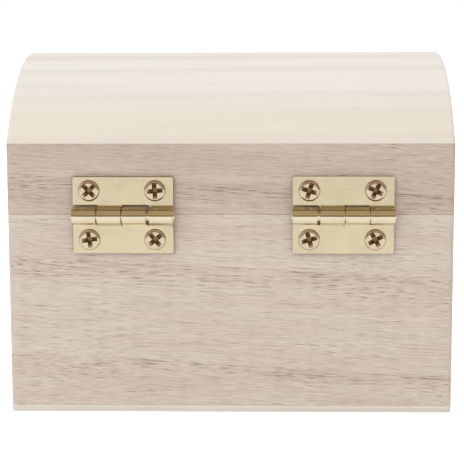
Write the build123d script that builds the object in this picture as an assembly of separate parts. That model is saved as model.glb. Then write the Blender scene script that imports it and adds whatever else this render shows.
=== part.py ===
from build123d import *
import os

# A small treasure chest of bare wood with a barrel lid. Two brass butt hinges join the lid to
# the back board, and a brass swing hook on the front board closes over a post on the lid.
# Millimetres, +Z up, the front towards -Y and +X to the right of someone facing the front.
# The origin is the middle of the bottom plate's underside.

# Chest, overall
chest_width = 90.0
chest_depth = 70.0
box_height = 40.9  # from the table to the seam
lid_rail_height = 14.3  # from the seam to the foot of the cover
arch_rise = 16.8  # from the foot of the cover to its crown

# Boards and sheets
rail_thickness = 6.0  # front and back boards, of the box and of the lid
end_thickness = 6.0  # box ends and lid gables
bottom_thickness = 1.3
cover_thickness = 2.5
corner_radius = 1.0  # sanded upright corners
cover_edge_radius = 0.8  # sanded ends of the cover
glue_line = 0.05  # between the cover and the arches of the gables
overrun = 1.0  # how far a cut goes past the surface that it opens
sliver = 0.01  # the most that two points may differ where the sizes make them one

# Butt hinges on the back
hinge_length = 20.3
hinge_inset = 12.75  # from the side of the chest to the nearer end of a hinge
hinge_shift = -0.6  # the pair as a whole, off the middle of the chest
leaf_sheet = 0.8
leaf_reach = 7.8  # from the pin's axis to the outer edge of a leaf
leaf_corner_radius = 0.4
pin_radius = 1.0
pin_overhang = 0.35  # past the knuckles, at each end
pin_chamfer = 0.3
pin_running_clearance = 0.05  # in the lid leaf, which turns on the pin
pin_seat_clearance = 0.02  # in the box leaf, which holds the pin
barrel_lift = 0.08  # between the barrel and the wood behind it
curl_slit = 0.12  # between the end of a rolled knuckle and its leaf
notch_clearance = 0.2  # between a barrel and the other leaf's notch
notch_corner_radius = 0.5
# The gaps between the four knuckles, from +X to -X, as shares of the hinge's length
right_gap_shares = (0.012, 0.010, 0.030)
left_gap_shares = (0.032, 0.009, 0.009)

# Hinge screws, with raised countersunk heads and cross recesses
screw_row = 4.95  # from the pin's axis to a row of screws
screw_spacing = 13.25  # between the two screws of a leaf
screw_shift = 0.2  # the two screws of a leaf, off its middle towards +X
screw_head_radius = 2.15
screw_dome = 0.5
screw_length = 6.0  # from the rim of the head to the tip
screw_core_radius = 0.75
screw_thread_radius = 1.05
screw_thread_pitch = 0.8
screw_tip_length = 1.4
screw_clearance = 0.03  # round a screw, in metal and in wood
recess_span = 2.9
recess_width = 0.78
recess_depth = 0.9  # below the rim of the head
recess_foot_share = 0.35  # the recess's floor, as a share of its span
# How far each recess is turned, in degrees, seen from outside and from +X to -X
right_lid_turns = (45, 5)
right_box_turns = (9, 40)
left_lid_turns = (-18, -26)
left_box_turns = (16, 29)
front_turns = (12, -25)  # the hook's pivot screw and the catch post

# Swing hook on the front
hook_reach = 14.0  # from its pivot to the catch post
hook_sheet = 1.0
hook_eye_radius = 2.7
hook_end_radius = 3.2
hook_arm_width = 3.0
hook_neck_radius = 1.6  # where the arm widens into the eye and the end
hook_edge_radius = 0.2
hook_tip_radius = 0.45  # at the two corners of the notch's mouth
hook_side_play = 0.1  # between the hook and what lies on each side of it
hook_pivot_clearance = 0.06
catch_clearance = 0.2  # round the post in the hook's notch
finger_length = 5.4  # from the middle of the hook's end to the middle of the tab's round tip
finger_width = 2.4
finger_turn = 28  # degrees that the finger tab is turned from straight down
washer_radius = 2.9
washer_thickness = 0.5
neck_radius = 1.0  # plain part of the pivot screw and of the catch post
front_head_radius = 2.2
front_head_edge = 0.35  # the straight side of a round head
front_dome = 0.75
front_screw_depth = 4.6  # how far they go into the wood

# Worked out from the sizes above
half_width = chest_width / 2
half_depth = chest_depth / 2
inner_half_depth = half_depth - rail_thickness
crease_height = box_height + lid_rail_height
arch_radius = (half_depth**2 + arch_rise**2) / (2 * arch_rise)
arch_centre = crease_height + arch_rise - arch_radius
barrel_radius = pin_radius + leaf_sheet
pin_y = half_depth + barrel_lift + barrel_radius
post_height = box_height + lid_rail_height / 2
pivot_height = post_height - hook_reach
post_neck_length = washer_thickness + hook_sheet + 2 * hook_side_play
notch_radius = neck_radius + catch_clearance


def slab(x_limits, y_limits, z_limits):
    """A block between two limits along each axis."""
    limits = (x_limits, y_limits, z_limits)
    size = [high - low for low, high in limits]
    middle = [(low + high) / 2 for low, high in limits]
    return Pos(*middle) * Box(*size)


def edges_furthest(shape, along, towards, way):
    """The edges that run along one axis and lie furthest towards another, up or down it."""
    groups = shape.edges().filter_by(along).group_by(towards)
    return groups[-1] if way > 0 else groups[0]


def cross_board(facing, z_limits):
    """A board across the front or the back, with its two outer corners sanded round."""
    y_limits = sorted((facing * inner_half_depth, facing * half_depth))
    board = slab((-half_width, half_width), y_limits, z_limits)
    return fillet(edges_furthest(board, Axis.Z, Axis.Y, facing), corner_radius)


# Screws

def cross_recess(top, turn):
    """Two crossing wings, wide at the top and narrow at the floor."""
    half_span = recess_span / 2
    half_foot = half_span * recess_foot_share
    slope = (half_span - half_foot) / recess_depth
    wing = Polyline((-half_foot, -recess_depth), (half_foot, -recess_depth),
                    (half_span + slope * top, top), (-half_span - slope * top, top), close=True)
    blade = extrude(Plane.XZ * make_face(wing), recess_width / 2, both=True)
    return Rot(0, 0, turn) * (blade + Rot(0, 0, 90) * blade)


def thread_points(start, stop):
    """Radius and height down the thread's ridges, from the start down to the point."""
    turns = max(1, int((start - stop - screw_tip_length) / screw_thread_pitch))
    points = []
    for turn in range(turns):
        top = start - turn * screw_thread_pitch
        points.append((screw_core_radius, top))
        points.append((screw_thread_radius, top - screw_thread_pitch / 2))
    points.append((screw_core_radius, start - turns * screw_thread_pitch))
    points.append((0, stop))
    return points


def turned(outline, *arcs):
    """The solid swept by an outline of radius and height points and arcs."""
    profile = make_face([Polyline(*outline)] + list(arcs))
    return revolve(Plane.XZ * profile, Axis.Z, 360)


def raised_screw(turn):
    """A raised countersunk wood screw, its head's rim at height zero, pointing down."""
    cone_foot = screw_core_radius - screw_head_radius
    outline = [(0, screw_dome), (0, -screw_length)]
    outline += list(reversed(thread_points(cone_foot, -screw_length)))[1:]
    outline.append((screw_head_radius, 0))
    dome = TangentArc((0, screw_dome), (screw_head_radius, 0), tangent=(1, 0))
    body = turned(outline, dome)
    return body - cross_recess(screw_dome + overrun, turn)


def raised_screw_hole():
    """The room that a raised screw needs, through its leaf and into the wood."""
    mouth = screw_head_radius + screw_clearance
    bore = screw_thread_radius + screw_clearance
    outline = [(0, overrun), (mouth + overrun, overrun), (bore, bore - mouth),
               (bore, -screw_length - screw_clearance), (0, -screw_length - screw_clearance),
               (0, overrun)]
    return turned(outline)


def round_screw(turn):
    """A round-headed screw with a plain neck, the wood's surface at height zero."""
    rim = post_neck_length + front_head_edge
    outline = [(0, rim + front_dome), (0, -front_screw_depth)]
    outline += list(reversed(thread_points(0, -front_screw_depth)))[1:]
    outline += [(neck_radius, 0), (neck_radius, post_neck_length),
                (front_head_radius, post_neck_length), (front_head_radius, rim)]
    dome = TangentArc((0, rim + front_dome), (front_head_radius, rim), tangent=(1, 0))
    body = turned(outline, dome)
    return body - Pos(0, 0, rim) * cross_recess(front_dome + overrun, turn)


def round_screw_hole():
    """The hole in the wood for the thread of a round-headed screw."""
    depth = front_screw_depth + screw_clearance
    bore = screw_thread_radius + screw_clearance
    return Pos(0, 0, (overrun - depth) / 2) * Cylinder(bore, depth + overrun)


def on_back(x, z, shape):
    """A screw or hole moved to the leaves' outer face, pointing into the back of the chest."""
    return Pos(x, half_depth + leaf_sheet, z) * Rot(-90, 0, 0) * shape


def on_front(x, z, shape):
    """A screw or hole moved to the front of the chest, pointing into it."""
    return Pos(x, -half_depth, z) * Rot(90, 0, 0) * shape


# Hinges

def hinge_middle(side):
    """Where a hinge's middle lies along X, for a side of 1 or -1."""
    return hinge_shift + side * (half_width - hinge_inset - hinge_length / 2)


def screw_places(side):
    """Where the two screws of a leaf lie along X, from +X to -X."""
    middle = hinge_middle(side) + screw_shift
    return [middle + step * screw_spacing / 2 for step in (1, -1)]


def knuckle_spans(side, gap_shares):
    """The lowest and highest X of each knuckle, from +X to -X."""
    length = hinge_length * (1 - sum(gap_shares)) / (len(gap_shares) + 1)
    high = hinge_middle(side) + hinge_length / 2
    spans = []
    for share in gap_shares + (0,):
        spans.append((high - length, high))
        high = high - length - share * hinge_length
    return spans


def hinge_leaf(side, spans, mine, up, bore_clearance):
    """One leaf: a sheet on the wood, notched for the other leaf's knuckles, with its own
    knuckles rolled round the pin. up is 1 for the lid leaf and -1 for the box leaf."""
    low = hinge_middle(side) - hinge_length / 2
    high = low + hinge_length
    edge = box_height + up * leaf_reach
    sheet = slab((low, high), (half_depth, half_depth + leaf_sheet), sorted((box_height, edge)))
    sheet = fillet(edges_furthest(sheet, Axis.Y, Axis.Z, up), leaf_corner_radius)
    bore = pin_radius + bore_clearance
    for number, span in enumerate(spans):
        if number % 2 != mine:
            sheet -= knuckle_notch(side, spans, number, up)
    for number, span in enumerate(spans):
        if number % 2 == mine:
            sheet += knuckle(span, bore, up)
    for x in screw_places(side):
        sheet -= on_back(x, box_height + up * screw_row, raised_screw_hole())
    return sheet - Pos((low + high) / 2, pin_y, box_height) * Rot(0, 90, 0) * Cylinder(
        bore, hinge_length + overrun)


def knuckle_notch(side, spans, number, up):
    """The cut in a leaf where one of the other leaf's knuckles turns. It is as wide as the
    room between this leaf's own knuckles, and open at the ends of the hinge."""
    if number > 0:
        high = spans[number - 1][0]
    else:
        high = hinge_middle(side) + hinge_length / 2 + overrun
    if number < len(spans) - 1:
        low = spans[number + 1][1]
    else:
        low = hinge_middle(side) - hinge_length / 2 - overrun
    reach = barrel_radius + notch_clearance
    z_limits = sorted((box_height - up * overrun, box_height + up * reach))
    cut = slab((low, high), (half_depth - overrun, half_depth + leaf_sheet + overrun), z_limits)
    return fillet(edges_furthest(cut, Axis.Y, Axis.Z, up), notch_corner_radius)


def knuckle(span, bore, up):
    """A rolled knuckle, slit where the end of the roll comes back to the leaf."""
    low, high = span
    ring = Pos((low + high) / 2, pin_y, box_height) * Rot(0, 90, 0) * (
        Cylinder(barrel_radius, high - low) - Cylinder(bore, high - low))
    slit_z = sorted((box_height, box_height + up * (barrel_radius + overrun)))
    slit_y = (half_depth + leaf_sheet, half_depth + leaf_sheet + curl_slit)
    return ring - slab((low - overrun, high + overrun), slit_y, slit_z)


def hinge_pin(side):
    """The pin, its ends a little past the knuckles."""
    pin = Cylinder(pin_radius, hinge_length + 2 * pin_overhang)
    pin = chamfer(pin.edges().filter_by(GeomType.CIRCLE), pin_chamfer)
    return Pos(hinge_middle(side), pin_y, box_height) * Rot(0, 90, 0) * pin


def leaf_screws(side, up, turns):
    """The two screws of a leaf."""
    z = box_height + up * screw_row
    return Compound([on_back(x, z, raised_screw(turn))
                     for x, turn in zip(screw_places(side), turns)])


# Box

def bored_for_leaves(board, up):
    """A back board with the holes of the hinge screws on one side of the seam."""
    for side in (1, -1):
        for x in screw_places(side):
            board -= on_back(x, box_height + up * screw_row, raised_screw_hole())
    return board


def bottom_plate():
    plate = slab((-half_width, half_width), (-half_depth, half_depth), (0, bottom_thickness))
    return fillet(plate.edges().filter_by(Axis.Z), corner_radius)


def box_board(facing):
    """The front board of the box for a facing of -1, the back board for 1."""
    return cross_board(facing, (bottom_thickness, box_height))


def box_end(side):
    x_limits = sorted((side * (half_width - end_thickness), side * half_width))
    y_limits = (-inner_half_depth, inner_half_depth)
    return slab(x_limits, y_limits, (bottom_thickness, box_height))


# Lid

def lid_rail(facing):
    """The front rail of the lid for a facing of -1, the back rail for 1."""
    return cross_board(facing, (box_height, crease_height))


def arch_section(radius):
    """The part of a disc of the arch's centre that lies above the rails, seen along X."""
    above = Pos(0, crease_height + arch_radius) * Rectangle(2 * chest_depth, 2 * arch_radius)
    return (Pos(0, arch_centre) * Circle(radius)) & above


def lid_gable(side):
    """An arched end. It stands between the rails, and its arch rests on them."""
    under_cover = arch_radius - cover_thickness - glue_line
    foot = Pos(0, (box_height + crease_height) / 2) * Rectangle(2 * inner_half_depth,
                                                              lid_rail_height)
    profile = foot + arch_section(under_cover)
    inner_x = half_width - end_thickness
    board = extrude(Plane.YZ * profile, end_thickness)
    return Pos(min(side * inner_x, side * half_width), 0, 0) * board


def lid_cover():
    """The bent sheet over the lid, with its ends sanded round."""
    profile = arch_section(arch_radius) - arch_section(arch_radius - cover_thickness)
    sheet = Pos(-half_width, 0, 0) * extrude(Plane.YZ * profile, chest_width)
    arcs = sheet.edges().filter_by(GeomType.CIRCLE)
    outer = arcs.filter_by(lambda e: e.radius > arch_radius - cover_thickness / 2)
    return fillet(outer, cover_edge_radius)


# Swing hook

def hook_outline():
    """The hook seen from the front, hanging down, with its pivot at the origin. Its notch
    opens to -X, the way it swings, and the finger tab points the other way."""
    half_arm = hook_arm_width / 2
    end = Pos(0, -hook_reach)
    arm = Pos(0, -hook_reach / 2) * Rectangle(hook_arm_width, hook_reach)
    shape = arm + Circle(hook_eye_radius) + end * Circle(hook_end_radius)
    beside_arm = Pos(-half_arm - hook_end_radius / 2, hook_end_radius / 2)
    shape -= end * beside_arm * Rectangle(hook_end_radius, hook_end_radius)
    finger = SlotCenterToCenter(finger_length, finger_width, rotation=90)
    shape += end * Rot(0, 0, finger_turn) * Pos(0, -finger_length / 2) * finger
    shape = fillet(shape.vertices().filter_by(is_above_notch), hook_neck_radius)
    shape = fillet(shape.vertices().filter_by(is_finger_root), finger_width / 2)
    seat = Circle(notch_radius)
    mouth = Pos(-hook_end_radius, 0) * Rectangle(2 * hook_end_radius, 2 * notch_radius)
    shape -= end * (seat + mouth)
    return fillet(shape.vertices().filter_by(is_mouth_corner), hook_tip_radius)


def is_above_notch(corner):
    return corner.Y > notch_radius - hook_reach


def is_finger_root(corner):
    below = corner.Y < -notch_radius - hook_reach
    from_end = (corner.center() - Vector(0, -hook_reach)).length
    return below and abs(from_end - hook_end_radius) < sliver


def is_mouth_corner(corner):
    beside = corner.X < sliver - hook_arm_width / 2
    return beside and abs(abs(corner.Y + hook_reach) - notch_radius) < sliver


def latch_hook():
    plate = extrude(hook_outline(), hook_sheet)
    plate = fillet(plate.edges().group_by(Axis.Z)[-1], hook_edge_radius)
    plate -= Cylinder(neck_radius + hook_pivot_clearance, 2 * hook_sheet + overrun)
    return on_front(0, pivot_height, Pos(0, 0, washer_thickness + hook_side_play) * plate)


def latch_washer():
    ring = Cylinder(washer_radius, washer_thickness)
    ring -= Cylinder(neck_radius + screw_clearance, washer_thickness + overrun)
    return on_front(0, pivot_height, Pos(0, 0, washer_thickness / 2) * ring)


# The pieces

nodes = {
    "bottom_plate": bottom_plate(),
    "box_back_board": bored_for_leaves(box_board(1), -1),
    "box_front_board": box_board(-1) - on_front(0, pivot_height, round_screw_hole()),
    "box_left_end": box_end(-1),
    "box_right_end": box_end(1),
    "lid_back_rail": bored_for_leaves(lid_rail(1), 1),
    "lid_front_rail": lid_rail(-1) - on_front(0, post_height, round_screw_hole()),
    "lid_left_gable": lid_gable(-1),
    "lid_right_gable": lid_gable(1),
    "lid_cover": lid_cover(),
    "latch_hook": latch_hook(),
    "latch_washer": latch_washer(),
    "latch_pivot_screw": on_front(0, pivot_height, round_screw(front_turns[0])),
    "latch_catch_post": on_front(0, post_height, round_screw(front_turns[1])),
}

hinges = (("left", -1, left_gap_shares, left_lid_turns, left_box_turns),
          ("right", 1, right_gap_shares, right_lid_turns, right_box_turns))
for name, side, gap_shares, lid_turns, box_turns in hinges:
    spans = knuckle_spans(side, gap_shares)
    nodes[f"{name}_hinge_lid_leaf"] = hinge_leaf(side, spans, 1, 1, pin_running_clearance)
    nodes[f"{name}_hinge_box_leaf"] = hinge_leaf(side, spans, 0, -1, pin_seat_clearance)
    nodes[f"{name}_hinge_pin"] = hinge_pin(side)
    nodes[f"{name}_hinge_lid_screws"] = leaf_screws(side, 1, lid_turns)
    nodes[f"{name}_hinge_box_screws"] = leaf_screws(side, -1, box_turns)

os.makedirs("parts", exist_ok=True)
for name, shape in nodes.items():
    export_step(shape, f"parts/{name}.step")
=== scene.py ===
"""Looks of a small treasure chest: bare sanded boards, a bent lid cover, brass hinges and latch.

Metres throughout, +Z up, the front with its hook towards -Y and the hinges towards +Y.
"""
import math

import bmesh
import bpy
from bpy.props import FloatProperty, FloatVectorProperty, IntProperty, PointerProperty
from mathutils import Euler, Matrix, Vector


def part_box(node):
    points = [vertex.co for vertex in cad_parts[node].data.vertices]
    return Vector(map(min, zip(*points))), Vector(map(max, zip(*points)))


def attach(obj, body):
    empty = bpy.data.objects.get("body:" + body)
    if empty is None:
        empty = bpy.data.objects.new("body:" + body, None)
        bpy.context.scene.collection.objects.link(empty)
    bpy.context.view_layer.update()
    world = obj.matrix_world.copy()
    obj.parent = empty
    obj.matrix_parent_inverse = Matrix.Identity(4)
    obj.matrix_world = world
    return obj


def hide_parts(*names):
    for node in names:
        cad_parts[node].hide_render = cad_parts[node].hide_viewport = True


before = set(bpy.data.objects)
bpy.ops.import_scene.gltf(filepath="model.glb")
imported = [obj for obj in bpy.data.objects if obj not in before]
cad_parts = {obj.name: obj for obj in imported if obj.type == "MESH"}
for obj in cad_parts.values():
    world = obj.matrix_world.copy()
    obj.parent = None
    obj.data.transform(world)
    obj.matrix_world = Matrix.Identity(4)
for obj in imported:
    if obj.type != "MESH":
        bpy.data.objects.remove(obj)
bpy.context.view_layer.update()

bl_info = {
    "name": "Treasure Chest Box",
    "version": (1, 0, 0),
    "blender": (4, 5, 0),
    "location": "View3D > Sidebar > Chest",
    "description": "Builds the boards, bent cover, hinges and latch of a small barrel-lid chest",
    "category": "Object",
}

QUARTER_TURN = math.pi / 2
FULL_TURN = 2 * math.pi
SMOOTH_ANGLE = math.radians(35)  # faces that meet at less shade as one surface
SHARP_ANGLE = math.radians(50)  # edges that turn by more are rounded
MERGE = 1e-6  # points nearer than a micrometre are one point
SAME = 1e-5  # lengths nearer than a hundredth of a millimetre are the same
PARALLEL = 0.999  # an edge with this share of its length along an axis is parallel to it


# Places and sizes that the frame gives

box_low, box_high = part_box("box_back_board")
plate_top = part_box("bottom_plate")[1].z
pin_low, pin_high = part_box("right_hinge_pin")
washer_low, washer_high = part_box("latch_washer")
leaf_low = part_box("right_hinge_lid_leaf")[0]
front_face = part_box("box_front_board")[0].y
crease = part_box("lid_back_rail")[1].z
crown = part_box("lid_cover")[1].z

half_width = box_high.x
half_depth = box_high.y
inner_half_depth = box_low.y
seam = box_high.z
arch_rise = crown - crease
arch_radius = (half_depth**2 + arch_rise**2) / (2 * arch_rise)
arch_centre = crown - arch_radius
pin_radius = (pin_high.z - pin_low.z) / 2
pin_y = (pin_low.y + pin_high.y) / 2
barrel_radius = seam - leaf_low.z
leaf_sheet = barrel_radius - pin_radius
leaf_face = leaf_low.y + leaf_sheet

# The gaps between the four knuckles, from +X to -X, as shares of the hinge's length
GAP_SHARES = {"right": (0.012, 0.010, 0.030), "left": (0.032, 0.009, 0.009)}
# How far each cross recess is turned, in degrees, seen from outside and from +X to -X
RECESS_TURNS = {
    ("right", "lid"): (45, 5),
    ("right", "box"): (9, 40),
    ("left", "lid"): (-18, -26),
    ("left", "box"): (16, 29),
}
# The same for the crosses of the latch
FRONT_TURNS = {"latch_pivot_screw": 12, "latch_catch_post": -25}
# Depths of a cross's two wings and middle, as shares of its own, so that no floors coincide
CROSS_DEPTHS = (1, 0.96, 0.9)
PIN_END = 0.35  # radius of the rounded ends of a pin, as a share of the pin's
# Heights over the face of a leaf between which the tone changes: where the sheet turns into
# the barrel, which is paler past it as painted reflection of the bright floor, and in the
# screw heads, whose crosses are browner below as painted shade
ROLL_REFLECTION_ZONE = (0.0001, 0.0006)
HEAD_SHADE_ZONE = (-0.0001, 0.0002)
# The hearts of the trunks that the boards were sawn from, and how the grain slants in them
BOX_PITH = (0, -0.05, 0.1596)
RAIL_PITH = (0, -0.05, 0.1552)
END_PITH = (0, 0.08, -0.06)
GRAIN_TILT = math.radians(3.06)
# The screws that go into each board
BOARD_SCREWS = {
    "box_back_board": ("right_hinge_box_screws", "left_hinge_box_screws"),
    "lid_back_rail": ("right_hinge_lid_screws", "left_hinge_lid_screws"),
    "box_front_board": ("latch_pivot_screw",),
    "lid_front_rail": ("latch_catch_post",),
}
COVER_SLANT = 0.016  # rise of the cover's grain lines over its width


def linear(hex_colour):
    """The linear red, green and blue of an sRGB colour written as six hex digits."""
    parts = [int(hex_colour[i:i + 2], 16) / 255 for i in (0, 2, 4)]
    return tuple(c / 12.92 if c <= 0.04045 else ((c + 0.055) / 1.055) ** 2.4 for c in parts)


def colour(name, description, hex_colour):
    """A colour that the user can change, written in sRGB."""
    return FloatVectorProperty(name=name, description=description, subtype="COLOR", size=3,
                               min=0, max=1, default=linear(hex_colour))


def number(name, description, default, **settings):
    """A number that the user can change."""
    return FloatProperty(name=name, description=description, default=default, **settings)


def length(name, description, default):
    """A length that the user can change, in metres."""
    return number(name, description, default, min=0, precision=5, unit="LENGTH")


class ChestWoodSizes(bpy.types.PropertyGroup):
    """Sizes of the woodwork."""

    easing: length("Easing", "Radius of the sanded arrises of the boards", 0.00015)
    corner: length("Corner", "Radius of the sanded upright corners", 0.001)
    cover_edge: length("Cover edge", "Radius of the sanded ends of the bent cover", 0.0008)
    cover_sheet: length("Cover sheet", "Thickness of the bent cover", 0.0025)
    glue_line: length("Glue line", "Room between the cover and the gables", 0.00005)
    ring_width: length("Ring width", "Width of one year's growth in the boards", 0.0172)
    pore_length: length("Pore length", "Length of a pore line along the grain", 0.0033)
    pore_width: length("Pore spacing", "Spacing of the pore lines across the grain", 0.00019)
    arch_steps: IntProperty(name="Arch steps", description="Flats along the bent cover",
                            default=96, min=12)


class ChestBrassSizes(bpy.types.PropertyGroup):
    """Sizes of the hinges, the screws and the latch."""

    leaf_corner: length("Leaf corner", "Radius of the outer corners of a leaf", 0.0004)
    notch_corner: length("Notch corner", "Radius of the inner corners of a notch", 0.0005)
    notch_room: length("Notch room", "Room between a barrel and the other leaf's notch", 0.0002)
    roll_slit: length("Roll slit", "Room between the end of a roll and its leaf", 0.00012)
    stamped_edge: length("Stamped edge", "Radius of the stamped edges of a leaf", 0.00017)
    dome: length("Screw dome", "Height of the raised head over its rim", 0.0005)
    core: length("Screw core", "Radius of a screw's core", 0.00075)
    ridge: length("Screw thread", "Radius of a screw's thread", 0.00105)
    pitch: length("Screw pitch", "Distance between two turns of the thread", 0.0008)
    tip: length("Screw tip", "Length of the pointed end", 0.0014)
    hole_room: length("Hole room", "Room between a screw and its hole", 0.00002)
    recess_span: length("Recess span", "Width of the cross across two wings", 0.0023)
    recess_wing: length("Recess wing", "Thickness of a wing of the cross", 0.0009)
    recess_depth: length("Recess depth", "Depth of the cross below the rim", 0.00085)
    recess_foot: number("Recess foot", "The cross's floor, as a share of its span", 0.35,
                        min=0.1, max=1, subtype="FACTOR")
    recess_round: number("Recess middle", "Radius of the cross's round middle, as a share of "
                         "half its span", 0.6, min=0.1, max=1, subtype="FACTOR")
    front_dome: length("Front dome", "Height of the round heads of the latch", 0.00075)
    front_edge: length("Front edge", "Straight side of the round heads of the latch", 0.00035)


class ChestColours(bpy.types.PropertyGroup):
    """Colours of the woods and of the brass."""

    board: colour("Board", "Late wood of the box boards, pale and greyish", "D5C9BC")
    board_warm: colour("Board, warm", "Early wood of the box boards, pinker", "D0BFB0")
    rail: colour("Rail", "Late wood of the lid rails, browner", "CBBBAE")
    rail_warm: colour("Rail, warm", "Early wood of the lid rails", "C3B0A1")
    pore: colour("Pore", "Open pores of the boards", "876B50")
    end_grain: colour("End grain", "Sawn and sanded ends of the fibres", "C9B39F")
    # The cover is paler and greyer than its feet as painted sheen of the light from above
    cover: colour("Cover", "Cream of the bent cover", "E7E1D9")
    cover_foot_shade: colour("Cover foot", "Warmer cream at the feet of the cover", "E2D8CA")
    cover_line: colour("Cover line", "Grey grain lines of the cover", "DACFC3")
    plywood_face: colour("Plywood face", "Face veneers of the bottom", "E7E0D5")
    plywood_core: colour("Plywood core", "Core of the bottom, brownish", "DBD3C6")
    # Greyer lower half of the core: painted shade along the bottom of the plate's edge
    plywood_core_shade: colour("Plywood core, grey", "Lower half of the core", "D2CFC5")
    # Paler than the leaf: on the barrels a painted reflection of the bright floor; the pins take
    # it too
    leaf: colour("Leaf", "Pale brass plating of the leaves", "E0D2B0")
    roll: colour("Roll", "Plating where the leaf was rolled", "EADFC0")
    # Darker sides of the leaves and feet of the rolls: painted shade
    shaded: colour("Sheared edge", "Browner lacquer on the sheared edges of a leaf", "6E5530")
    screw: colour("Screw", "Paler plating of the screws", "DFD0B6")
    # Browner in the crosses and at the edge of the rim of each head: painted shade of the recess
    recess: colour("Recess", "Thin plating and dirt in the crosses", "AF926A")
    hook: colour("Hook", "Warmer plating of the hook and washer", "D9C48C")


class ChestStudio(bpy.types.PropertyGroup):
    """Light, floor and camera."""

    ambient: number("Ambient", "Strength of the even light from all round", 0.845, min=0)
    key_power: number("Key light", "Power of the large soft lamp", 2.5, min=0, unit="POWER")
    fill_power: number("Fill light", "Power of the soft lamp above", 1.1, min=0, unit="POWER")
    lamp_width: length("Lamp width", "Width of both lamps", 1.0)
    floor: colour("Floor", "Pale floor", "F0F0F0")
    floor_lift: number("Floor lift", "Share of white that the camera sees on the floor beside "
                       "the light on it", 0.6, min=0)
    mirror_lift: number("Mirrored lift", "Share of white that shiny metal mirrors on the floor "
                        "beside the light on it", 0.09, min=0)
    room: colour("Room", "Dim walls of the room, which only shiny metal mirrors", "B2A185")
    ceiling: colour("Ceiling", "Darker ceiling of that room", "7A6744")
    skirting: colour("Skirting", "Darkest strip of that room, over the floor", "4A3C2A")
    lens: number("Lens", "Focal length on a 36 mm sensor, in mm", 119.66, min=1)
    camera_place: FloatVectorProperty(name="Camera", description="Place of the camera",
                                      subtype="TRANSLATION", unit="LENGTH",
                                      default=(-0.00793, 0.34184, 0.08495))
    camera_pitch: number("Pitch", "How far the camera looks down", 0.1538, subtype="ANGLE")
    camera_heading: number("Heading", "Turn about Z, 180 degrees looks at the back",
                           math.pi + 0.0247, subtype="ANGLE")
    camera_roll: number("Roll", "Turn about the line of sight", -0.003, subtype="ANGLE")


# Modelling by hand

def new_piece(make, name, **settings):
    """A new primitive, alone in the selection, its place and size put into its mesh."""
    bpy.ops.object.select_all(action="DESELECT")
    make(**settings)
    piece = bpy.context.object
    piece.name = name
    bpy.ops.object.transform_apply(location=True, rotation=True, scale=True)
    return piece


def block(name, low, high):
    """A block between two corners."""
    low, high = Vector(low), Vector(high)
    return new_piece(bpy.ops.mesh.primitive_cube_add, name, size=1, location=(low + high) / 2,
                     scale=high - low)


def select_only(piece):
    """Makes a piece the active one, alone in the selection."""
    bpy.ops.object.select_all(action="DESELECT")
    piece.select_set(True)
    bpy.context.view_layer.objects.active = piece


def edit(piece):
    """Opens a piece in edit mode with nothing selected."""
    select_only(piece)
    bpy.ops.object.mode_set(mode="EDIT")
    bpy.ops.mesh.select_all(action="DESELECT")


def pick(piece, kind, test):
    """Selects only those faces or edges of a piece in edit mode that pass a test."""
    bpy.ops.mesh.select_mode(type={"faces": "FACE", "edges": "EDGE"}[kind])
    bpy.ops.mesh.select_all(action="DESELECT")
    shape = bmesh.from_edit_mesh(piece.data)
    for item in getattr(shape, kind):
        if test(item):
            item.select_set(True)
    bmesh.update_edit_mesh(piece.data)


def centre(item):
    """The middle of a face's or an edge's corners."""
    return sum((corner.co for corner in item.verts), Vector()) / len(item.verts)


def runs_along(edge, axis):
    """Whether an edge is parallel to the axis 0, 1 or 2."""
    run = edge.verts[1].co - edge.verts[0].co
    return abs(run[axis]) > PARALLEL * run.length


def is_sharp(edge):
    """Whether two faces meet at an edge with a clear turn."""
    return len(edge.link_faces) == 2 and edge.calc_face_angle() > SHARP_ANGLE


def near(value, target):
    """Whether two lengths are the same."""
    return abs(value - target) < SAME


def round_off(piece, test, radius, segments):
    """Rounds the edges of a piece in edit mode that pass a test."""
    pick(piece, "edges", test)
    bpy.ops.mesh.bevel(offset=radius, segments=segments, affect="EDGES")


def ease(piece, radius, segments=3, glued=None):
    """Rounds every sharp edge of a piece in edit mode a little, as sanding does, but none in
    the level plane where it was glued and sanded flush with another piece."""
    round_off(piece, lambda edge: is_sharp(edge)
              and (glued is None or not near(centre(edge).z, glued)), radius, segments)


def slice_all(place, normal, **settings):
    """Cuts every face of the piece in edit mode along a plane."""
    bpy.ops.mesh.select_all(action="SELECT")
    bpy.ops.mesh.bisect(plane_co=place, plane_no=normal, threshold=MERGE, **settings)


def clean():
    """Merges double points and points every face outwards, in edit mode."""
    bpy.ops.mesh.select_all(action="SELECT")
    bpy.ops.mesh.remove_doubles(threshold=MERGE)
    bpy.ops.mesh.normals_make_consistent(inside=False)


def close():
    """Cleans the piece in edit mode and leaves that mode."""
    clean()
    bpy.ops.object.mode_set(mode="OBJECT")


def apply_modifier(piece, kind, **settings):
    """Adds a modifier and applies it."""
    bpy.context.view_layer.objects.active = piece
    modifier = piece.modifiers.new(kind, kind)
    for name, value in settings.items():
        setattr(modifier, name, value)
    bpy.ops.object.modifier_apply(modifier=modifier.name)


def cut_away(piece, cutter):
    """Takes a cutter's shape out of a piece, and removes the cutter."""
    apply_modifier(piece, "BOOLEAN", object=cutter, operation="DIFFERENCE", solver="EXACT")
    bpy.data.objects.remove(cutter)


def hand_over(piece, body, slot, material, *nodes):
    """Smooths a finished piece, gives it its material and body, and hides the CAD nodes it
    stands for. The slot is not used.
    """
    select_only(piece)
    bpy.ops.object.shade_smooth_by_angle(angle=SMOOTH_ANGLE)
    apply_modifier(piece, "WEIGHTED_NORMAL", keep_sharp=True)
    piece.data.materials.clear()
    piece.data.materials.append(material)
    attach(piece, body)
    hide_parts(*nodes)


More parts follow.
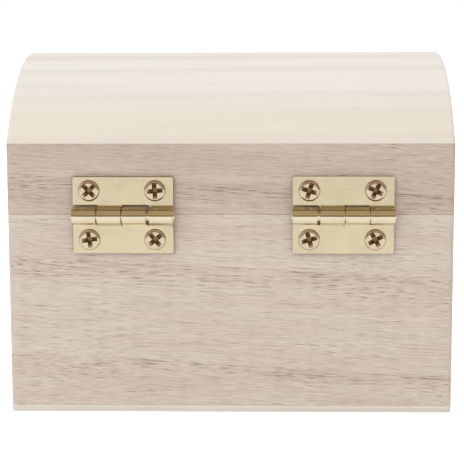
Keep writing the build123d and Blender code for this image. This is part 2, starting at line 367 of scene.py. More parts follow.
def lathe(name, outline, place, way, steps=64):
    """A solid turned about an axis along Y, from points of radius and height, its heights
    measured from a place and growing towards +Y for a way of 1 and towards -Y for -1."""
    place = Vector(place)
    piece = new_piece(bpy.ops.mesh.primitive_plane_add, name, size=MERGE)
    edit(piece)
    bpy.ops.mesh.select_mode(type="VERT")
    bpy.ops.mesh.select_all(action="SELECT")
    bpy.ops.mesh.merge(type="CENTER")
    points = [place + Vector((radius, way * height, 0)) for radius, height in outline]
    bpy.ops.transform.translate(value=points[0])
    for start, end in zip(points, points[1:]):
        bpy.ops.mesh.extrude_region_move(TRANSFORM_OT_translate={"value": end - start})
    bpy.ops.mesh.select_all(action="SELECT")
    bpy.ops.mesh.spin(steps=steps, angle=FULL_TURN, center=place, axis=(0, 1, 0))
    close()
    return piece


# Materials

def add(material, kind, inputs=(), **settings):
    """Adds a shader node with its settings. Each input is set to a value, or linked to an
    output or to the first output of a node. Colours get full alpha."""
    made = material.node_tree.nodes.new("ShaderNode" + kind)
    for name, value in settings.items():
        setattr(made, name, value)
    for key, value in dict(inputs).items():
        socket = made.inputs[key]
        if isinstance(value, bpy.types.Node):
            value = value.outputs[0]
        if isinstance(value, bpy.types.NodeSocket):
            material.node_tree.links.new(value, socket)
        else:
            socket.default_value = (*value, 1) if socket.type == "RGBA" else value
    return made


def new_material(name):
    """An empty material."""
    material = bpy.data.materials.new(name)
    material.use_nodes = True
    material.node_tree.nodes.clear()
    return material


def streaks(m, grain, *rows):
    """Noise drawn out along the grain in several ways. A row has a name, the length and width
    of a streak in metres, the detail, the range of the noise and what it maps to."""
    made = {}
    for name, along, across, detail, start, stop, low, high in rows:
        drawn = add(m, "VectorMath", {0: grain, 1: (1 / along, 1 / across, 1 / across)},
                    operation="MULTIPLY")
        noise = add(m, "TexNoise", {"Vector": drawn, "Scale": 1, "Detail": detail})
        made[name] = add(m, "MapRange", {"Value": noise, "From Min": start, "From Max": stop,
                                         "To Min": low, "To Max": high})
    return made


def paulownia(name, light, warm, pith, grain_y=False, tilt=0.0):
    """Sanded paulownia board, left bare. It is ring-porous and grows fast: wide rings, each
    starting with a crowd of open pores that a plane cuts into short brown lines, in rows along
    the grain. The fibres are pale and silky, the ends of the fibres darker."""
    sizes = bpy.context.scene.chest_wood
    colours = bpy.context.scene.chest_colours
    m = new_material(name)
    where = add(m, "TexCoord").outputs
    laid = add(m, "Mapping", {"Vector": where["Object"],
                              "Rotation": (0, tilt, -QUARTER_TURN if grain_y else 0)})

    # The grain wanders by up to 2 mm, over 56 mm along a board and 17 mm across it
    slow = add(m, "VectorMath", {0: laid, 1: (1 / 0.0556, 1 / 0.0167, 1 / 0.0167)},
               operation="MULTIPLY")
    wander = add(m, "TexNoise", {"Vector": slow, "Scale": 1, "Detail": 1})
    wander = add(m, "MapRange", {"Value": wander, "To Min": -0.002, "To Max": 0.002})
    sway = add(m, "CombineXYZ", {"Y": wander, "Z": wander})
    grain = add(m, "VectorMath", {0: laid, 1: sway}, operation="ADD")

    # Silk and lines are coarser than real fibres of 0.05 mm, which the render can't show
    streak = streaks(m, grain,
                     ("patches", 0.02, 0.0022, 2, 0.38, 0.58, 0.2, 0.95),
                     ("rows", 0.012, 0.00026, 2, 0.4, 0.52, 0.1, 1),
                     ("silk", 0.0022, 0.00018, 4, 0.3, 0.7, 0.88, 1.11),
                     ("lines", 0.011, 0.00014, 3, 0.5, 0.66, 0, 1),
                     ("tones", 0.05, 0.005, 3, 0.36, 0.64, 0, 0.8))

    # Growth rings about the pith, with the early wood at the start of each
    across = add(m, "VectorMath", {0: grain, 1: pith}, operation="SUBTRACT")
    across = add(m, "VectorMath", {0: across, 1: (0, 1, 1)}, operation="MULTIPLY")
    radius = add(m, "VectorMath", {0: across}, operation="LENGTH")
    years = add(m, "Math", {0: radius.outputs["Value"], 1: sizes.ring_width},
                operation="DIVIDE")
    season = add(m, "Math", {0: years}, operation="FRACT")
    early = add(m, "MapRange", {"Value": season, "From Max": 0.3, "To Min": 1, "To Max": 0})

    # Pores: stretched cells, few in the late wood and crowded in the early wood
    porous = add(m, "Math", {0: early, 1: streak["patches"]}, operation="MULTIPLY")
    crowd = add(m, "Math", {0: porous, 1: 0.95, 2: 0.27}, operation="MULTIPLY_ADD")
    crowd = add(m, "Math", {0: crowd, 1: streak["rows"]}, operation="MULTIPLY")
    cells = (1 / sizes.pore_length, 1 / sizes.pore_width, 1 / sizes.pore_width)
    cells = add(m, "VectorMath", {0: grain, 1: cells}, operation="MULTIPLY")
    cells = add(m, "TexVoronoi", {"Vector": cells, "Scale": 1})
    chance = add(m, "SeparateColor", {0: cells.outputs["Color"]})
    kept = add(m, "Math", {0: crowd, 1: chance}, operation="SUBTRACT")
    kept = add(m, "MapRange", {"Value": kept, "From Max": 0.3})
    mouth = add(m, "MapRange", {"Value": cells.outputs["Distance"], "From Min": 0.15,
                                "From Max": 0.5, "To Min": 1, "To Max": 0})
    pore = add(m, "Math", {0: kept, 1: mouth}, operation="MULTIPLY")

    # Slow changes of tone, warmer in the early wood
    warmth = add(m, "Math", {0: early, 1: 0.35, 2: streak["tones"]}, operation="MULTIPLY_ADD",
                 use_clamp=True)
    tone = add(m, "Mix", {0: warmth, 6: light, 7: warm}, data_type="RGBA")

    # The ends of the fibres, where the surface looks along the grain, and silk over it all
    facing = add(m, "SeparateXYZ", {0: where["Normal"]})
    ends = add(m, "Math", {0: facing.outputs["Y" if grain_y else "X"], 1: 2},
               operation="POWER")
    ends = add(m, "MapRange", {"Value": ends, "From Min": 0.8, "To Max": 0.8})
    tone = add(m, "Mix", {0: ends, 6: tone.outputs[2], 7: colours.end_grain}, data_type="RGBA")
    tone = add(m, "VectorMath", {0: tone.outputs[2], "Scale": streak["silk"]},
               operation="SCALE")

    # Pores and faint lines are browner, and the pores are a little deeper
    faint = add(m, "Math", {0: porous, 1: 0.3, 2: 0.32}, operation="MULTIPLY_ADD")
    faint = add(m, "Math", {0: faint, 1: streak["lines"]}, operation="MULTIPLY")
    shown = add(m, "Math", {0: pore, 1: 0.85, 2: faint}, operation="MULTIPLY_ADD",
                use_clamp=True)
    tone = add(m, "Mix", {0: shown, 6: tone, 7: colours.pore}, data_type="RGBA")
    height = add(m, "Math", {0: pore, 1: -1, 2: streak["silk"]}, operation="MULTIPLY_ADD")
    bump = add(m, "Bump", {"Height": height, "Strength": 0.3, "Distance": 0.00008})
    shader = add(m, "BsdfPrincipled", {"Base Color": tone.outputs[2], "Roughness": 0.62,
                                       "Normal": bump})
    add(m, "OutputMaterial", {0: shader})
    return m


def cover_veneer():
    """Bent cover, a sheet of pale sanded wood whose grain runs along the width. Its lines are
    long and faint, so it reads as cream with grey bands that follow the arch."""
    colours = bpy.context.scene.chest_colours
    m = new_material("bent poplar sheet, sanded")
    where = add(m, "TexCoord").outputs
    moved = add(m, "VectorMath", {0: where["Object"], 1: (0, 0, arch_centre)},
                operation="SUBTRACT")
    parts = add(m, "SeparateXYZ", {0: moved})

    # The sheet laid flat: along the width, round the arch and through the thickness
    angle = add(m, "Math", {0: parts.outputs["Z"], 1: parts.outputs["Y"]}, operation="ARCTAN2")
    along = add(m, "Math", {0: angle, 1: arch_radius}, operation="MULTIPLY")
    rise = add(m, "Math", {0: parts.outputs["X"], 1: COVER_SLANT, 2: along},
               operation="MULTIPLY_ADD")
    depth = add(m, "VectorMath", {0: moved, 1: (0, 1, 1)}, operation="MULTIPLY")
    depth = add(m, "VectorMath", {0: depth}, operation="LENGTH")
    sheet = add(m, "CombineXYZ", {0: parts.outputs["X"], 1: rise, 2: depth.outputs["Value"]})
    streak = streaks(m, sheet,
                     ("bands", 0.25, 0.004, 2, 0.46, 0.7, 0, 0.75),
                     ("silk", 0.03, 0.00035, 3, 0.3, 0.7, 0.97, 1.02),
                     ("flecks", 0.0022, 0.0003, 1, 0.66, 0.8, 0, 0.25))

    # The sheet is paler and greyer over its top and a little warmer towards its two feet,
    # as painted sheen and shade of the light from above
    foot = add(m, "Math", {0: parts.outputs["Y"]}, operation="ABSOLUTE")
    foot = add(m, "MapRange", {"Value": foot, "From Min": half_depth * 0.66,
                               "From Max": half_depth * 0.88})
    tone = add(m, "Mix", {0: foot, 6: colours.cover, 7: colours.cover_foot_shade}, data_type="RGBA")
    marks = add(m, "Math", {0: streak["bands"], 1: streak["flecks"]}, operation="MAXIMUM")
    tone = add(m, "Mix", {0: marks, 6: tone.outputs[2], 7: colours.cover_line},
               data_type="RGBA")
    tone = add(m, "VectorMath", {0: tone.outputs[2], "Scale": streak["silk"]},
               operation="SCALE")
    bump = add(m, "Bump", {"Height": streak["silk"], "Strength": 0.2, "Distance": 0.00005})
    shader = add(m, "BsdfPrincipled", {"Base Color": tone, "Roughness": 0.45, "Normal": bump})
    add(m, "OutputMaterial", {0: shader})
    return m


def thin_plywood():
    """Bottom plate of thin plywood. Its edge shows two pale face veneers and a greyer core,
    greyest towards the bottom as painted shade.
    """
    colours = bpy.context.scene.chest_colours
    m = new_material("thin birch plywood, sanded")
    where = add(m, "TexCoord").outputs
    height = add(m, "SeparateXYZ", {0: where["Object"]}).outputs["Z"]
    off_middle = add(m, "Math", {0: height, 1: plate_top / 2}, operation="SUBTRACT")
    off_middle = add(m, "Math", {0: off_middle}, operation="ABSOLUTE")
    veneer = add(m, "MapRange", {"Value": off_middle, "From Min": plate_top * 0.29,
                                 "From Max": plate_top * 0.37})
    # The lower half of the core is greyer, as painted shade
    shade_below = add(m, "MapRange", {"Value": height, "From Min": plate_top * 0.66,
                                   "From Max": plate_top * 0.2})
    core = add(m, "Mix", {0: shade_below, 6: colours.plywood_core, 7: colours.plywood_core_shade},
               data_type="RGBA")
    tone = add(m, "Mix", {0: veneer, 6: core.outputs[2], 7: colours.plywood_face},
               data_type="RGBA")

    # Silk is coarser than the real fibres, which the render can't show
    silk = streaks(m, where["Object"],
                   ("silk", 0.011, 0.0006, 3, 0.3, 0.7, 0.95, 1.03))["silk"]
    tone = add(m, "VectorMath", {0: tone.outputs[2], "Scale": silk}, operation="SCALE")
    bump = add(m, "Bump", {"Height": silk, "Strength": 0.2, "Distance": 0.00006})
    shader = add(m, "BsdfPrincipled", {"Base Color": tone, "Roughness": 0.6, "Normal": bump})
    add(m, "OutputMaterial", {0: shader})
    return m


def brass_plate(name, tone, roughness, zone=None, edge=None):
    """Brass-plated steel, rolled and then tumbled: pale gold, fairly bright, with fine lines
    along the sheet. A zone is two heights over the face of the leaves, between which the
    tone changes, and its tone and roughness past them: painted reflection on the barrels and
    painted shade in the crosses of the screws. An edge tone darkens the sides of a leaf and
    the feet of its rolls as painted shade."""
    m = new_material(name)
    where = add(m, "TexCoord").outputs
    # Painted shade: where the normal turns away from Y the leaf takes the darker edge tone
    if edge:
        facing = add(m, "SeparateXYZ", {0: where["Normal"]})
        side = add(m, "Math", {0: facing.outputs["Y"]}, operation="ABSOLUTE")
        side = add(m, "MapRange", {"Value": side, "From Min": 0.9, "From Max": 0.5})
        tone = add(m, "Mix", {0: side, 4: tone, 5: edge}, data_type="VECTOR").outputs[1]
    # Past the zone the tone changes: paler on the barrels as painted reflection, while the
    # screws are browner below it, in their crosses, as painted shade
    if zone:
        (start, stop), past_tone, past_roughness = zone
        parts = add(m, "SeparateXYZ", {0: where["Object"]})
        past = add(m, "MapRange", {"Value": parts.outputs["Y"], "From Min": leaf_face + start,
                                   "From Max": leaf_face + stop})
        tone = add(m, "Mix", {0: past, 4: tone, 5: past_tone}, data_type="VECTOR").outputs[1]
        roughness = add(m, "Mix", {0: past, 2: roughness, 3: past_roughness})

    # Clouds of haze, 4 mm wide
    haze = streaks(m, where["Object"],
                   ("haze", 0.004, 0.004, 3, 0.3, 0.7, 0.95, 1.03))["haze"]
    tint = add(m, "VectorMath", {0: tone, "Scale": haze}, operation="SCALE")

    # Rolling lines of 3.3 mm by 0.14 mm, coarser than the real ones of 0.02 mm, which the
    # render can't show
    sheet = (1 / 0.0033, 1 / 0.00014, 1 / 0.00014)
    lines = add(m, "VectorMath", {0: where["Object"], 1: sheet}, operation="MULTIPLY")
    lines = add(m, "TexNoise", {"Vector": lines, "Scale": 1, "Detail": 2})
    grit = add(m, "MapRange", {"Value": lines, "From Min": 0.3, "From Max": 0.7,
                               "To Min": 0.85, "To Max": 1.15})
    rough = add(m, "Math", {0: grit, 1: roughness}, operation="MULTIPLY")
    bump = add(m, "Bump", {"Height": lines, "Strength": 0.1, "Distance": 0.00001})
    shader = add(m, "BsdfPrincipled", {"Base Color": tint, "Metallic": 1, "Roughness": rough,
                                       "Normal": bump})
    add(m, "OutputMaterial", {0: shader})
    return m


def end_wood():
    """The wood of the box ends and the gables, with its grain along Y, made only once."""
    colours = bpy.context.scene.chest_colours
    name = "paulownia ends, sanded"
    return bpy.data.materials.get(name) or paulownia(
        name, colours.board, colours.board_warm, END_PITH, grain_y=True)


# Room for the screws

def screw_places(node):
    """Where the two screws of a leaf lie, from +X to -X, and the radius of their heads."""
    low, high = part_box(node)
    radius = (high.z - low.z) / 2
    row = (high.z + low.z) / 2
    return [(high.x - radius, row), (low.x + radius, row)], radius


def drill(piece, node):
    """Drills a board or leaf for the screws of a node, with a hair of room round the threads
    and round countersunk heads."""
    sizes = bpy.context.scene.chest_brass
    low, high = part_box(node)
    bore = sizes.ridge + sizes.hole_room
    if high.y > 0:
        places, radius = screw_places(node)
        wide = radius + sizes.hole_room
        mouth = [(0, wide - bore), (wide, wide - bore), (wide, 0), (bore, bore - wide)]
        face, way, depth = leaf_face, 1, leaf_face - low.y
    else:
        places = [((low.x + high.x) / 2, (low.z + high.z) / 2)]
        mouth = [(0, sizes.pitch), (bore, sizes.pitch)]
        face, way, depth = front_face, -1, high.y - front_face
    end = -depth - sizes.hole_room
    for x, z in places:
        cutter = lathe("cutter", mouth + [(bore, end), (0, end)], (x, face, z), way, steps=48)
        cut_away(piece, cutter)


# Woodwork

def board(node, rounded=None):
    """A sawn board with sanded arrises, and wider rounding at the edges that pass a test."""
    sizes = bpy.context.scene.chest_wood
    piece = block(node.replace("_", "-"), *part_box(node))
    edit(piece)
    if rounded:
        round_off(piece, rounded, sizes.corner, segments=8)
    ease(piece, sizes.easing, glued=plate_top)
    close()
    return piece


class CHEST_OT_boards(bpy.types.Operator):
    """Front and back boards of the box and of the lid, with sanded corners"""

    bl_idname = "chest.boards"
    bl_label = "Boards and rails"

    def execute(self, context):
        colours = context.scene.chest_colours
        woods = {
            "box": paulownia("paulownia box boards, sanded", colours.board, colours.board_warm,
                             BOX_PITH, tilt=GRAIN_TILT),
            "lid": paulownia("paulownia lid rails, sanded", colours.rail, colours.rail_warm,
                             RAIL_PITH, tilt=GRAIN_TILT)}
        for node, body in (("box_back_board", "box"), ("box_front_board", "box"),
                           ("lid_back_rail", "lid"), ("lid_front_rail", "lid")):
            outer = max(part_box(node), key=lambda corner: abs(corner.y)).y
            piece = board(node, lambda edge: runs_along(edge, 2)
                          and near(centre(edge).y, outer))
            for screws in BOARD_SCREWS[node]:
                drill(piece, screws)
            hand_over(piece, body, "board_wood", woods[body], node)
        return {"FINISHED"}


class CHEST_OT_box_ends(bpy.types.Operator):
    """Two ends of the box, between its front and back boards"""

    bl_idname = "chest.box_ends"
    bl_label = "Box ends"

    def execute(self, context):
        for node in ("box_left_end", "box_right_end"):
            hand_over(board(node), "box", "board_wood", end_wood(), node)
        return {"FINISHED"}


class CHEST_OT_gables(bpy.types.Operator):
    """Two arched gables that carry the cover"""

    bl_idname = "chest.gables"
    bl_label = "Lid gables"

    def execute(self, context):
        sizes = context.scene.chest_wood
        under_cover = arch_radius - sizes.cover_sheet - sizes.glue_line
        for node in ("lid_left_gable", "lid_right_gable"):
            low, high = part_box(node)
            middle = ((low.x + high.x) / 2, 0, arch_centre)
            piece = new_piece(bpy.ops.mesh.primitive_cylinder_add, node.replace("_", "-"),
                              vertices=256, radius=under_cover, depth=high.x - low.x,
                              location=middle, rotation=(0, QUARTER_TURN, 0))
            edit(piece)
            slice_all((0, 0, crease), (0, 0, 1), use_fill=True, clear_inner=True)
            for side in (1, -1):
                slice_all((0, side * inner_half_depth, 0), (0, 1, 0))
            pick(piece, "faces", lambda face: near(centre(face).z, crease)
                 and abs(centre(face).y) < inner_half_depth)
            bpy.ops.mesh.extrude_region_move(
                TRANSFORM_OT_translate={"value": (0, 0, seam - crease)})
            ease(piece, sizes.easing)
            close()
            hand_over(piece, "lid", "board_wood", end_wood(), node)
        return {"FINISHED"}


def from_arch_centre(edge):
    """How far the middle of an edge is from the axis of the arch."""
    return math.hypot(centre(edge).y, centre(edge).z - arch_centre)


class CHEST_OT_cover(bpy.types.Operator):
    """Bent cover over the lid, with sanded ends"""

    bl_idname = "chest.cover"
    bl_label = "Lid cover"

    def execute(self, context):
        sizes = context.scene.chest_wood
        piece = block("lid-cover", (-half_width, arch_radius - sizes.cover_sheet, arch_centre),
                      (half_width, arch_radius, arch_centre + MERGE * 10))
        edit(piece)
        pick(piece, "faces", lambda face: face.normal.z < -0.5)
        bpy.ops.mesh.delete(type="FACE")
        pick(piece, "faces", lambda face: face.normal.z > 0.5)
        bpy.ops.mesh.spin(steps=sizes.arch_steps, angle=-math.pi, center=(0, 0, arch_centre),
                          axis=(1, 0, 0))
        clean()
        round_off(piece, lambda edge: is_sharp(edge) and near(abs(centre(edge).x), half_width)
                  and from_arch_centre(edge) > arch_radius - sizes.cover_sheet / 4,
                  sizes.cover_edge, segments=5)
        ease(piece, sizes.easing)
        slice_all((0, 0, crease), (0, 0, 1), use_fill=True, clear_inner=True)
        close()
        hand_over(piece, "lid", "cover_wood", cover_veneer(), "lid_cover")
        return {"FINISHED"}


class CHEST_OT_bottom(bpy.types.Operator):
    """Thin bottom plate under the walls"""

    bl_idname = "chest.bottom"
    bl_label = "Bottom plate"

    def execute(self, context):
        piece = board("bottom_plate", lambda edge: runs_along(edge, 2))
        hand_over(piece, "box", "plate_wood", thin_plywood(), "bottom_plate")
        return {"FINISHED"}


# Hinges

def knuckle_spans(low, high, gap_shares):
    """The lowest and highest X of each knuckle of a hinge, from +X to -X."""
    knuckle = (high - low) * (1 - sum(gap_shares)) / (len(gap_shares) + 1)
    spans = []
    start = high
    for share in gap_shares + (0,):
        spans.append((start - knuckle, start))
        start -= knuckle + share * (high - low)
    return spans


def hinge_leaf(side, part):
    """One leaf: a stamped sheet whose tongues are rolled round the pin. The box leaf has the
    first and third knuckle from +X, the lid leaf the second and fourth."""
    sizes = bpy.context.scene.chest_brass
    node = f"{side}_hinge_{part}_leaf"
    low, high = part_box(node)
    up, first, edge_z = (1, 1, high.z) if part == "lid" else (-1, 0, low.z)
    notch_z = seam + up * (barrel_radius + sizes.notch_room)
    spans = knuckle_spans(low.x, high.x, GAP_SHARES[side])[first::2]
    limits = sorted((notch_z, edge_z))
    piece = block(node.replace("_", "-"), (low.x, low.y, limits[0]),
                  (high.x, leaf_face, limits[1]))
    edit(piece)
    cuts = [x for span in spans for x in span if low.x + MERGE < x < high.x - MERGE]
    for x in cuts:
        slice_all((x, 0, 0), (1, 0, 0))
    pick(piece, "faces", lambda face: near(centre(face).z, notch_z)
         and any(start < centre(face).x < end for start, end in spans))
    lift = pin_y - barrel_radius - low.y
    bpy.ops.mesh.extrude_region_move(
        TRANSFORM_OT_translate={"value": (0, lift, seam - notch_z)})
    roll = math.pi + math.acos((leaf_face + sizes.roll_slit - pin_y) / barrel_radius)
    bpy.ops.mesh.spin(steps=44, angle=-up * roll, center=(0, pin_y, seam), axis=(1, 0, 0))
    round_off(piece, lambda edge: runs_along(edge, 1) and near(centre(edge).z, notch_z)
              and any(near(centre(edge).x, x) for x in cuts), sizes.notch_corner, segments=5)
    round_off(piece, lambda edge: runs_along(edge, 1) and near(centre(edge).z, edge_z)
              and (near(centre(edge).x, low.x) or near(centre(edge).x, high.x)),
              sizes.leaf_corner, segments=5)
    close()
    drill(piece, f"{side}_hinge_{part}_screws")
    apply_modifier(piece, "BEVEL", width=sizes.stamped_edge, segments=2, limit_method="ANGLE",
                   angle_limit=SHARP_ANGLE, use_clamp_overlap=True)
    return piece, node


class CHEST_OT_hinge_leaves(bpy.types.Operator):
    """Four stamped and rolled hinge leaves"""

    bl_idname = "chest.hinge_leaves"
    bl_label = "Hinge leaves"

    def execute(self, context):
        colours = context.scene.chest_colours
        # Past the zone the barrels take the paler roll tone, a painted reflection, and the sides
        # of the leaves and the feet of the rolls take the darker edge tone, painted shade
        metal = brass_plate("brass-plated steel, rolled", colours.leaf, roughness=0.22,
                            zone=(ROLL_REFLECTION_ZONE, colours.roll, 0.14), edge=colours.shaded)
        for side in ("right", "left"):
            for part in ("lid", "box"):
                piece, node = hinge_leaf(side, part)
                hand_over(piece, part, "hinge_brass", metal, node)
        return {"FINISHED"}


class CHEST_OT_hinge_pins(bpy.types.Operator):
    """Two hinge pins with rounded ends"""

    bl_idname = "chest.hinge_pins"
    bl_label = "Hinge pins"

    def execute(self, context):
        metal = brass_plate("brass-plated steel wire, drawn",
                            context.scene.chest_colours.roll, roughness=0.2)
        for side in ("right", "left"):
            node = f"{side}_hinge_pin"
            low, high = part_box(node)
            piece = new_piece(bpy.ops.mesh.primitive_cylinder_add, f"{side}-hinge-pin",
                              vertices=64, radius=pin_radius, depth=high.x - low.x,
                              location=(low + high) / 2, rotation=(0, QUARTER_TURN, 0))
            edit(piece)
            ease(piece, pin_radius * PIN_END, segments=5)
            close()
            hand_over(piece, "box", "hinge_brass", metal, node)
        return {"FINISHED"}


def dome_points(radius, rim, rise, steps=16, fall=14):
    """Points of radius and height down a head, from its nearly flat crown to its rim. The
    higher the fall, the nearer to the rim the head drops."""
    shares = [math.sin(QUARTER_TURN * step / steps) for step in range(1, steps + 1)]
    return [(0, rim + rise)] + [(radius * share, rim + rise * (1 - share**fall))
                                for share in shares]


def thread_points(start, stop):
    """Points of radius and height down a screw's thread, from its start to its tip."""
    sizes = bpy.context.scene.chest_brass
    turns = int((start - stop - sizes.tip) / sizes.pitch)
    points = []
    for turn in range(turns):
        top = start - turn * sizes.pitch
        points += [(sizes.core, top), (sizes.ridge, top - sizes.pitch / 2)]
    return points + [(sizes.core, start - turns * sizes.pitch), (0, stop)]


def cut_cross(piece, place, way, rim, turn, rise):
    """Cuts a cross recess into a round head: two wings, wide at the top and narrow at the
    floor, and a round middle that is narrower still."""
    sizes = bpy.context.scene.chest_brass
    x, y, z = place
    half = sizes.recess_span / 2
    foot = half * sizes.recess_foot
    over = 2 * rise
    top = y + way * (rim + over)
    for quarter in (0, 1):
        depth = sizes.recess_depth * CROSS_DEPTHS[quarter]
        floor = y + way * (rim - depth)
        reach = foot + (half - foot) / depth * (over + depth)
        wing = block("cutter", (x - reach, min(floor, top), z - sizes.recess_wing / 2),
                     (x + reach, max(floor, top), z + sizes.recess_wing / 2))
        edit(wing)
        pick(wing, "faces", lambda face: near(centre(face).y, floor))
        bpy.ops.transform.resize(value=(foot / reach, 1, 1), center_override=(x, floor, z))
        bpy.ops.mesh.select_all(action="SELECT")
        bpy.ops.transform.rotate(value=quarter * QUARTER_TURN - way * math.radians(turn),
                                 orient_axis="Y", center_override=(x, y, z))
        close()
        cut_away(piece, wing)
    deep = abs(top - y) + sizes.recess_depth * CROSS_DEPTHS[2]
    cut_away(piece, new_piece(
        bpy.ops.mesh.primitive_cone_add, "cutter", vertices=32, depth=deep,
        radius1=half * sizes.recess_round, radius2=foot * 0.8,
        location=(x, top - way * deep / 2, z), rotation=(way * QUARTER_TURN, 0, 0)))


class CHEST_OT_hinge_screws(bpy.types.Operator):
    """Eight raised countersunk screws with cross recesses"""

    bl_idname = "chest.hinge_screws"
    bl_label = "Hinge screws"

    def execute(self, context):
        sizes = context.scene.chest_brass
        colours = context.scene.chest_colours
        # Painted shade: below the head zone the screws take the browner recess tone, in the
        # crosses and at the edge of the rim
        metal = brass_plate("brass-plated screws", colours.recess, roughness=0.5,
                            zone=(HEAD_SHADE_ZONE, colours.screw, 0.2))
        for (side, part), turns in RECESS_TURNS.items():
            node = f"{side}_hinge_{part}_screws"
            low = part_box(node)[0]
            places, radius = screw_places(node)
            outline = dome_points(radius, 0, sizes.dome)
            outline += thread_points(sizes.core - radius, low.y - leaf_face)
            for count, ((x, z), turn) in enumerate(zip(places, turns), 1):
                place = (x, leaf_face, z)
                piece = lathe(f"{side}-{part}-screw-{count}", outline, place, 1)
                cut_cross(piece, place, 1, 0, turn, sizes.dome)
                hand_over(piece, part, "screw_brass", metal, node)
        return {"FINISHED"}


# Latch

class CHEST_OT_latch(bpy.types.Operator):
    """Washer, pivot screw and catch post of the latch, and the finish of its hook"""

    bl_idname = "chest.latch"
    bl_label = "Latch"

    def execute(self, context):
        sizes = context.scene.chest_brass
        colours = context.scene.chest_colours
        warm = brass_plate("brass-plated steel, stamped", colours.hook, roughness=0.3)
        metal = brass_plate("brass-plated round screws", colours.screw, roughness=0.28)
        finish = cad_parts["latch_hook"].data.materials
        finish.clear()
        finish.append(warm)

        radius = (washer_high.x - washer_low.x) / 2
        sheet = washer_high.y - washer_low.y
        edge = sheet / 4
        hole = sizes.ridge
        outline = [(hole, 0), (radius, 0), (radius, sheet - edge), (radius - edge, sheet),
                   (hole, sheet), (hole, 0)]
        place = (0, washer_high.y, (washer_low.z + washer_high.z) / 2)
        washer = lathe("latch-washer", outline, place, -1)
        hand_over(washer, "box", "hook_brass", warm, "latch_washer")

        for node, body in (("latch_pivot_screw", "box"), ("latch_catch_post", "lid")):
            low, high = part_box(node)
            radius = (high.x - low.x) / 2
            rim = front_face - low.y - sizes.front_dome
            neck = rim - sizes.front_edge
            place = (0, front_face, (low.z + high.z) / 2)
            outline = dome_points(radius, rim, sizes.front_dome)
            outline += [(radius, neck), (pin_radius, neck), (pin_radius, 0)]
            outline += thread_points(0, front_face - high.y)
            piece = lathe(node.replace("_", "-"), outline, place, -1)
            cut_cross(piece, place, -1, rim, FRONT_TURNS[node], sizes.front_dome)
            hand_over(piece, body, "screw_brass", metal, node)
        return {"FINISHED"}


# Stage

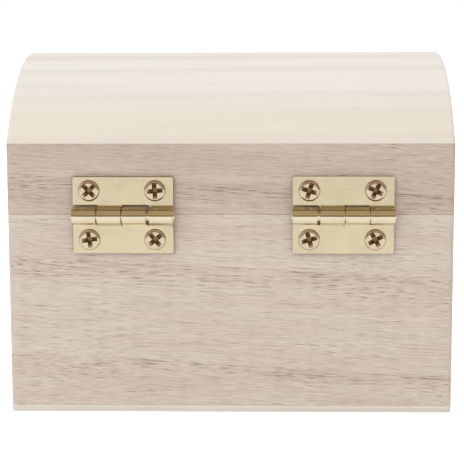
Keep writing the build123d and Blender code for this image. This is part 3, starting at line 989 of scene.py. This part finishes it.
class CHEST_OT_stage(bpy.types.Operator):
    """Pale floor, soft light and the camera"""

    bl_idname = "chest.stage"
    bl_label = "Stage"

    def execute(self, context):
        studio = context.scene.chest_studio
        floor = new_piece(bpy.ops.mesh.primitive_plane_add, "floor", size=8)
        floor.data.materials.append(self.floor_material(studio))
        self.light_world(context, studio)

        for name, power, place, target in (
                ("key", studio.key_power, (0.42, 0.62, 0.55), (0, 0, 0)),
                ("fill", studio.fill_power, (0, 0.1, 1.2), (0, 0.1, 0))):
            light = bpy.data.lights.new(name, "AREA")
            light.shape = "DISK"
            light.size = studio.lamp_width
            light.energy = power
            lamp = bpy.data.objects.new(name, light)
            context.scene.collection.objects.link(lamp)
            lamp.location = place
            facing = Vector(target) - Vector(place)
            lamp.rotation_euler = facing.to_track_quat("-Z", "Y").to_euler()
            lamp.visible_glossy = False

        # Dark cards that only shiny metal mirrors give the domes and rolls their shading
        room = self.card_material("brown studio card", studio.room)
        ceiling = self.card_material("dark brown studio card", studio.ceiling)
        skirting = self.card_material("black studio card", studio.skirting)
        for name, low, high, material in (
                ("card-behind", (-2.5, 1.1, 0.02), (2.5, 1.11, 4.5), room),
                ("card-above", (-5, -2.8, 4.5), (5, 1.1, 4.51), ceiling),
                ("card-aside", (-0.91, -0.45, 0.02), (-0.9, 0.9, 0.85), room),
                ("card-low", (-2.5, 1.0, 0.03), (2.5, 1.01, 0.24), skirting)):
            card = block(name, low, high)
            card.data.materials.append(material)
            for kind in ("camera", "diffuse", "shadow", "transmission"):
                setattr(card, f"visible_{kind}", False)

        camera = bpy.data.objects.new("camera", bpy.data.cameras.new("camera"))
        context.scene.collection.objects.link(camera)
        camera.data.lens = studio.lens
        camera.location = studio.camera_place
        aim = Euler((QUARTER_TURN - studio.camera_pitch, 0, studio.camera_heading))
        turn = aim.to_matrix() @ Matrix.Rotation(studio.camera_roll, 3, "Z")
        camera.rotation_euler = turn.to_euler()
        camera.data.clip_start = 0.01
        context.scene.camera = camera
        context.scene.view_settings.view_transform = "Standard"
        return {"FINISHED"}

    def card_material(self, name, tone):
        """A card that glows at its tone in any light, a little cloudy, so that the metal mirrors
        it as painted reflection of a dim room.
        """
        m = new_material(name)
        where = add(m, "TexCoord").outputs["Object"]
        glow_cloud = add(m, "TexNoise", {"Vector": where, "Scale": 3})
        share = add(m, "MapRange", {"Value": glow_cloud, "To Min": 0.7, "To Max": 1.3})
        glow = add(m, "Emission", {"Color": tone, "Strength": share})
        add(m, "OutputMaterial", {0: glow})
        return m

    def floor_material(self, studio):
        """Pale matt floor. The camera sees it lifted to white, with the chest's shadow on it,
        and metal mirrors it lifted a little."""
        m = new_material("pale matt floor")
        matt = add(m, "BsdfDiffuse", {"Color": studio.floor})
        ray = add(m, "LightPath").outputs
        seen = add(m, "Math", {0: ray["Is Camera Ray"], 1: ray["Is Transmission Ray"]},
                   operation="ADD", use_clamp=True)
        mirrored = add(m, "Math", {0: ray["Is Glossy Ray"], 1: studio.mirror_lift},
                       operation="MULTIPLY")
        lift = add(m, "Math", {0: seen, 1: studio.floor_lift, 2: mirrored},
                   operation="MULTIPLY_ADD")
        glow = add(m, "Emission", {"Strength": lift})
        both = add(m, "AddShader", {0: matt, 1: glow})
        add(m, "OutputMaterial", {0: both})
        return m

    def light_world(self, context, studio):
        """Even light from all round, seen as plain white by the camera and by the metal."""
        world = bpy.data.worlds.new("studio")
        context.scene.world = world
        world.use_nodes = True
        world.node_tree.nodes.clear()
        ray = add(world, "LightPath").outputs
        seen = add(world, "Math", {0: ray["Is Camera Ray"], 1: ray["Is Glossy Ray"]},
                   operation="ADD")
        seen = add(world, "Math", {0: seen, 1: ray["Is Transmission Ray"]}, operation="ADD",
                   use_clamp=True)
        strength = add(world, "MapRange", {
            "Value": seen, "To Min": studio.ambient, "To Max": 1})
        sky = add(world, "Background", {"Color": (1, 1, 1), "Strength": strength})
        add(world, "OutputWorld", {0: sky})


class CHEST_PT_panel(bpy.types.Panel):
    """Sizes, colours and pieces of the chest"""

    bl_idname = "CHEST_PT_panel"
    bl_label = "Treasure chest"
    bl_space_type = "VIEW_3D"
    bl_region_type = "UI"
    bl_category = "Chest"

    def draw(self, context):
        """Shows every setting, and a button for every piece or group of pieces."""
        layout = self.layout
        for group in GROUPS:
            column = layout.column(align=True)
            settings = getattr(context.scene, group)
            for name in settings.__annotations__:
                column.prop(settings, name)
        for operator in OPERATORS:
            layout.operator(operator.bl_idname)


GROUPS = {
    "chest_wood": ChestWoodSizes,
    "chest_brass": ChestBrassSizes,
    "chest_colours": ChestColours,
    "chest_studio": ChestStudio,
}
OPERATORS = (CHEST_OT_boards, CHEST_OT_box_ends, CHEST_OT_gables, CHEST_OT_cover,
             CHEST_OT_bottom, CHEST_OT_hinge_leaves, CHEST_OT_hinge_pins,
             CHEST_OT_hinge_screws, CHEST_OT_latch, CHEST_OT_stage)


def register():
    """Registers the settings, the operators and the panel."""
    for name, group in GROUPS.items():
        bpy.utils.register_class(group)
        setattr(bpy.types.Scene, name, PointerProperty(type=group))
    for kind in OPERATORS + (CHEST_PT_panel,):
        bpy.utils.register_class(kind)


def unregister():
    """Takes back what register did."""
    for kind in reversed(OPERATORS + (CHEST_PT_panel,)):
        bpy.utils.unregister_class(kind)
    for name, group in reversed(GROUPS.items()):
        delattr(bpy.types.Scene, name)
        bpy.utils.unregister_class(group)


def main():
    """Builds the pieces and the stage."""
    register()
    bpy.ops.chest.boards()
    bpy.ops.chest.box_ends()
    bpy.ops.chest.gables()
    bpy.ops.chest.cover()
    bpy.ops.chest.bottom()
    bpy.ops.chest.hinge_leaves()
    bpy.ops.chest.hinge_pins()
    bpy.ops.chest.hinge_screws()
    bpy.ops.chest.latch()
    bpy.ops.chest.stage()


if __name__ == "__main__":
    main()
